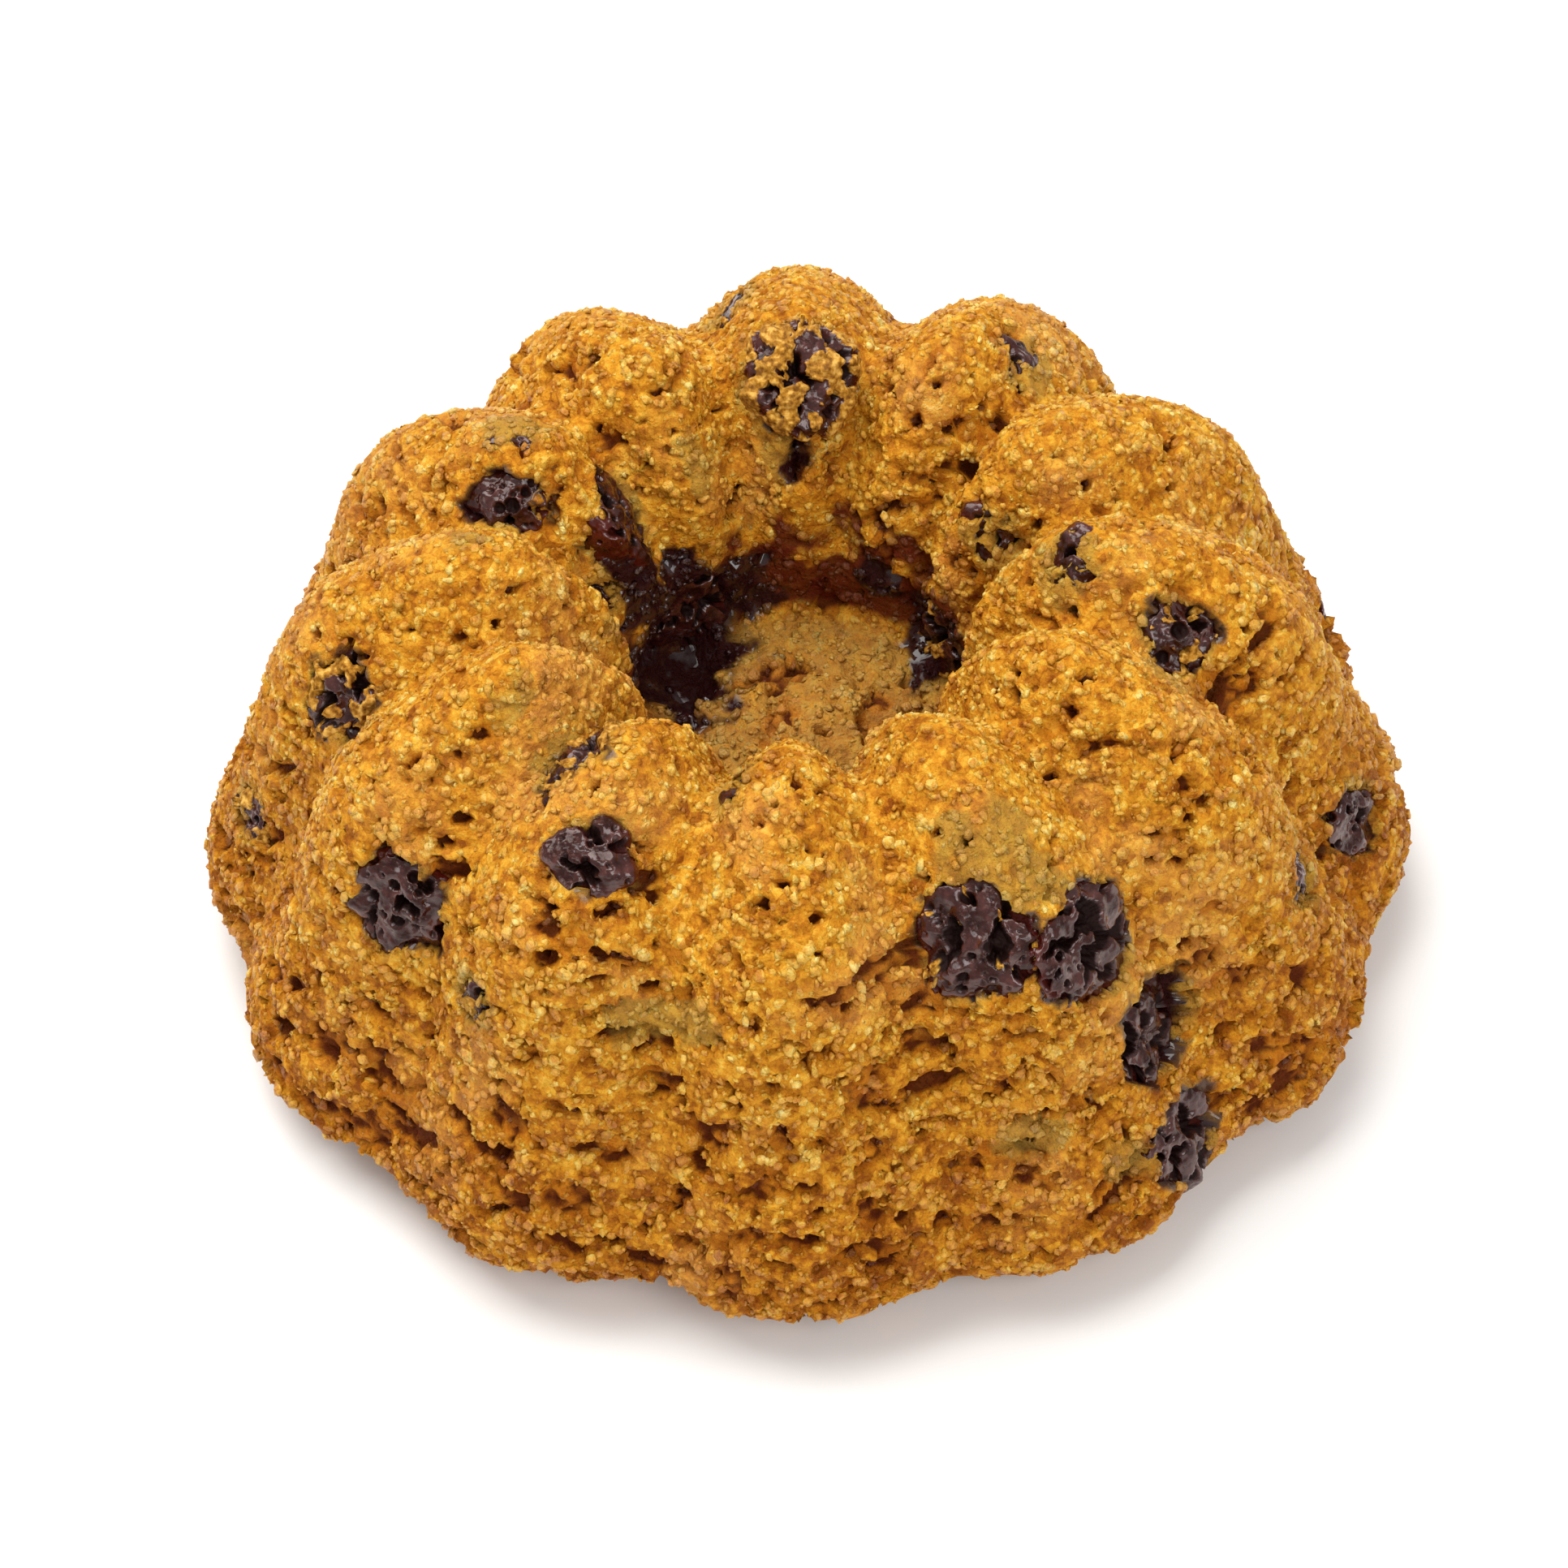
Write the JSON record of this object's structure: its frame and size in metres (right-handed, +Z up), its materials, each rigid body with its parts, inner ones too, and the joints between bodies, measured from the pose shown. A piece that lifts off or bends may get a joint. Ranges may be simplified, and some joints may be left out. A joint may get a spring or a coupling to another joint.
{
  "type": "fluted ring muffin",
  "caption": "Fluted ring muffin with a blind well in its middle and chocolate chips baked into its crumb; it rests on a flat underside.",
  "frame": {"origin": "middle of the flat underside, on the surface that the muffin rests on", "axes": "+Z up along the well's axis; a lobe's crown lies along +X, which is the slightly longer way across; the lobe along -Y is the front one in the usual view"},
  "size_m": [0.1012, 0.0982, 0.0443],
  "materials": {
    "crumb": "moist open golden-orange crumb, matte with fine glints",
    "chocolate": "glossy dark chocolate, softened and pitted by baking"
  },
  "bodies": {
    "root": {"cake_body": "crumb", "chocolate_chip_01": "chocolate", "chocolate_chip_02": "chocolate", "chocolate_chip_03": "chocolate", "chocolate_chip_04": "chocolate", "chocolate_chip_05": "chocolate", "chocolate_chip_06": "chocolate", "chocolate_chip_07": "chocolate", "chocolate_chip_08": "chocolate", "chocolate_chip_09": "chocolate", "chocolate_chip_10": "chocolate", "chocolate_chip_11": "chocolate", "chocolate_chip_12": "chocolate", "chocolate_chip_13": "chocolate", "chocolate_chip_14": "chocolate", "chocolate_chip_15": "chocolate", "chocolate_chip_16": "chocolate", "chocolate_chip_17": "chocolate", "chocolate_chip_18": "chocolate", "chocolate_chip_19": "chocolate", "chocolate_chip_20": "chocolate", "chocolate_chip_21": "chocolate", "chocolate_chip_22": "chocolate", "chocolate_chip_23": "chocolate", "chocolate_chip_24": "chocolate", "chocolate_chip_25": "chocolate", "chocolate_chip_26": "chocolate", "chocolate_chip_27": "chocolate", "chocolate_chip_28": "chocolate", "chocolate_chip_29": "chocolate", "chocolate_chip_30": "chocolate", "chocolate_chip_31": "chocolate"}
  },
  "joints": []
}
